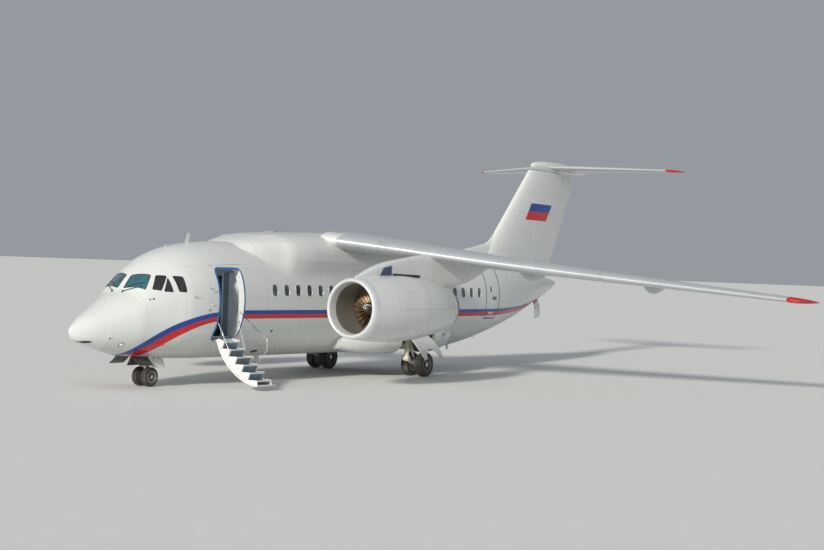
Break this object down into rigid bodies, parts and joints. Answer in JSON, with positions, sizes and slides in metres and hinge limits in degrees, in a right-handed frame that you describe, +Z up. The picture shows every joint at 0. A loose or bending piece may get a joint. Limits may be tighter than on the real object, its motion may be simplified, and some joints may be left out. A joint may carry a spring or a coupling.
{
  "type": "high-wing T-tail regional jet, parked on its gear",
  "caption": "Twin-turbofan regional airliner with a high swept wing, T-tail and open airstair, standing on its landing gear.",
  "frame": {"origin": "on the ground under the middle of the aircraft's length, in its plane of symmetry", "axes": "+X aft, +Y to starboard, +Z up; the nose points along -X"},
  "size_m": [29.13, 28.91, 8.19],
  "materials": {
    "white_paint": "gloss white-grey aircraft paint",
    "wing_grey": "satin light grey paint",
    "red_paint": "gloss red paint",
    "polished_metal": "bare polished skin",
    "engine_metal": "heat-tinted metal",
    "cockpit_glass": "dark laminated glass in a metal frame",
    "stair_white": "gloss white paint",
    "stair_grey": "ribbed grey tread plate",
    "gear_grey": "grey gear paint with worn edges",
    "gear_cream": "cream gear paint",
    "wheel_grey": "cast wheel, dusty",
    "tyre": "smooth aircraft tyre with dusty treads"
  },
  "bodies": {
    "airframe": {"radome": "white_paint", "nose_fuselage": "white_paint", "cockpit_glazing": "cockpit_glass", "forward_fuselage": "white_paint", "cabin_fuselage": "white_paint", "aft_fuselage": "white_paint", "rear_door": "white_paint", "tail_cone": "white_paint", "wing_fairing": "white_paint", "nose_leg": "gear_grey", "fin": "white_paint", "rudder": "white_paint", "tail_bullet": "white_paint", "tailplane": "white_paint", "wing_port": "white_paint", "slat_port": "polished_metal", "flap_port": "wing_grey", "aileron_port": "wing_grey", "wing_tip_port": "red_paint", "intake_lip_port": "polished_metal", "engine_cowl_port": "white_paint", "engine_core_port": "engine_metal", "pylon_port": "white_paint", "gear_fairing_port": "white_paint", "main_leg_port": "gear_cream", "main_gear_door_port": "white_paint", "nose_gear_door_port": "white_paint", "elevator_port": "wing_grey", "wing_starboard": "white_paint", "slat_starboard": "polished_metal", "flap_starboard": "wing_grey", "aileron_starboard": "wing_grey", "wing_tip_starboard": "red_paint", "intake_lip_starboard": "polished_metal", "engine_cowl_starboard": "white_paint", "engine_core_starboard": "engine_metal", "pylon_starboard": "white_paint", "gear_fairing_starboard": "white_paint", "main_leg_starboard": "gear_cream", "main_gear_door_starboard": "white_paint", "nose_gear_door_starboard": "white_paint", "elevator_starboard": "wing_grey"},
    "nose_steering": {"nose_fork": "gear_grey"},
    "nose_wheel_pair": {"nose_wheels": "wheel_grey", "nose_tyre_port": "tyre", "nose_tyre_starboard": "tyre"},
    "main_wheel_pair_port": {"main_wheels_port": "wheel_grey", "main_tyre_port_inner": "tyre", "main_tyre_port_outer": "tyre"},
    "main_wheel_pair_starboard": {"main_wheels_starboard": "wheel_grey", "main_tyre_starboard_inner": "tyre", "main_tyre_starboard_outer": "tyre"},
    "fan_rotor_port": {"fan_port": "engine_metal"},
    "fan_rotor_starboard": {"fan_starboard": "engine_metal"},
    "airstair": {"airstair_shell": "stair_white", "airstair_steps": "stair_grey"},
    "stay_front": {"airstair_stay_front": "polished_metal"},
    "stay_back": {"airstair_stay_back": "polished_metal"},
    "tail_access_port": {"tail_door_port": "white_paint"},
    "tail_access_starboard": {"tail_door_starboard": "white_paint"}
  },
  "joints": [
    {"name": "nose_steering", "type": "hinge", "parent": "airframe", "child": "nose_steering", "pos_m": [-11.645, 0, 0.6], "axis": [0, 0, 1], "range_deg": [-55, 55]},
    {"name": "nose_wheel_spin", "type": "hinge", "parent": "nose_steering", "child": "nose_wheel_pair", "pos_m": [-11.645, 0, 0.276], "axis": [0, 1, 0], "continuous": true},
    {"name": "main_wheel_spin_port", "type": "hinge", "parent": "airframe", "child": "main_wheel_pair_port", "pos_m": [-0.905, -2.03, 0.405], "axis": [0, 1, 0], "continuous": true},
    {"name": "main_wheel_spin_starboard", "type": "hinge", "parent": "airframe", "child": "main_wheel_pair_starboard", "pos_m": [-0.905, 2.03, 0.405], "axis": [0, 1, 0], "continuous": true},
    {"name": "fan_spin_port", "type": "hinge", "parent": "airframe", "child": "fan_rotor_port", "pos_m": [-6.535, -4.25, 2.39], "axis": [1, 0, 0], "continuous": true},
    {"name": "fan_spin_starboard", "type": "hinge", "parent": "airframe", "child": "fan_rotor_starboard", "pos_m": [-6.535, 4.25, 2.39], "axis": [1, 0, 0], "continuous": true},
    {"name": "airstair_hinge", "type": "hinge", "parent": "airframe", "child": "airstair", "pos_m": [-9.965, -1.42, 1.36], "axis": [1, 0, 0], "range_deg": [-127, 0]},
    {"name": "stay_front_pivot", "type": "hinge", "parent": "airframe", "child": "stay_front", "pos_m": [-10.355, -1.46, 2.02], "axis": [1, 0, 0], "range_deg": [-152.4, 0]},
    {"name": "stay_back_pivot", "type": "hinge", "parent": "airframe", "child": "stay_back", "pos_m": [-9.45, -1.56, 2.17], "axis": [1, 0, 0], "range_deg": [-149.86, 0]},
    {"name": "tail_door_hinge_port", "type": "hinge", "parent": "airframe", "child": "tail_access_port", "pos_m": [9.31, -0.664, 2.52278], "axis": [0.9216, 0, 0.3882], "range_deg": [0, 78]},
    {"name": "tail_door_hinge_starboard", "type": "hinge", "parent": "airframe", "child": "tail_access_starboard", "pos_m": [9.31, 0.664, 2.52278], "axis": [0.9216, 0, 0.3882], "range_deg": [-78, 0]}
  ],
  "couplings": [
    {"joint": "stay_front_pivot", "follows": "airstair_hinge", "ratio": 1.2},
    {"joint": "stay_back_pivot", "follows": "airstair_hinge", "ratio": 1.18}
  ]
}
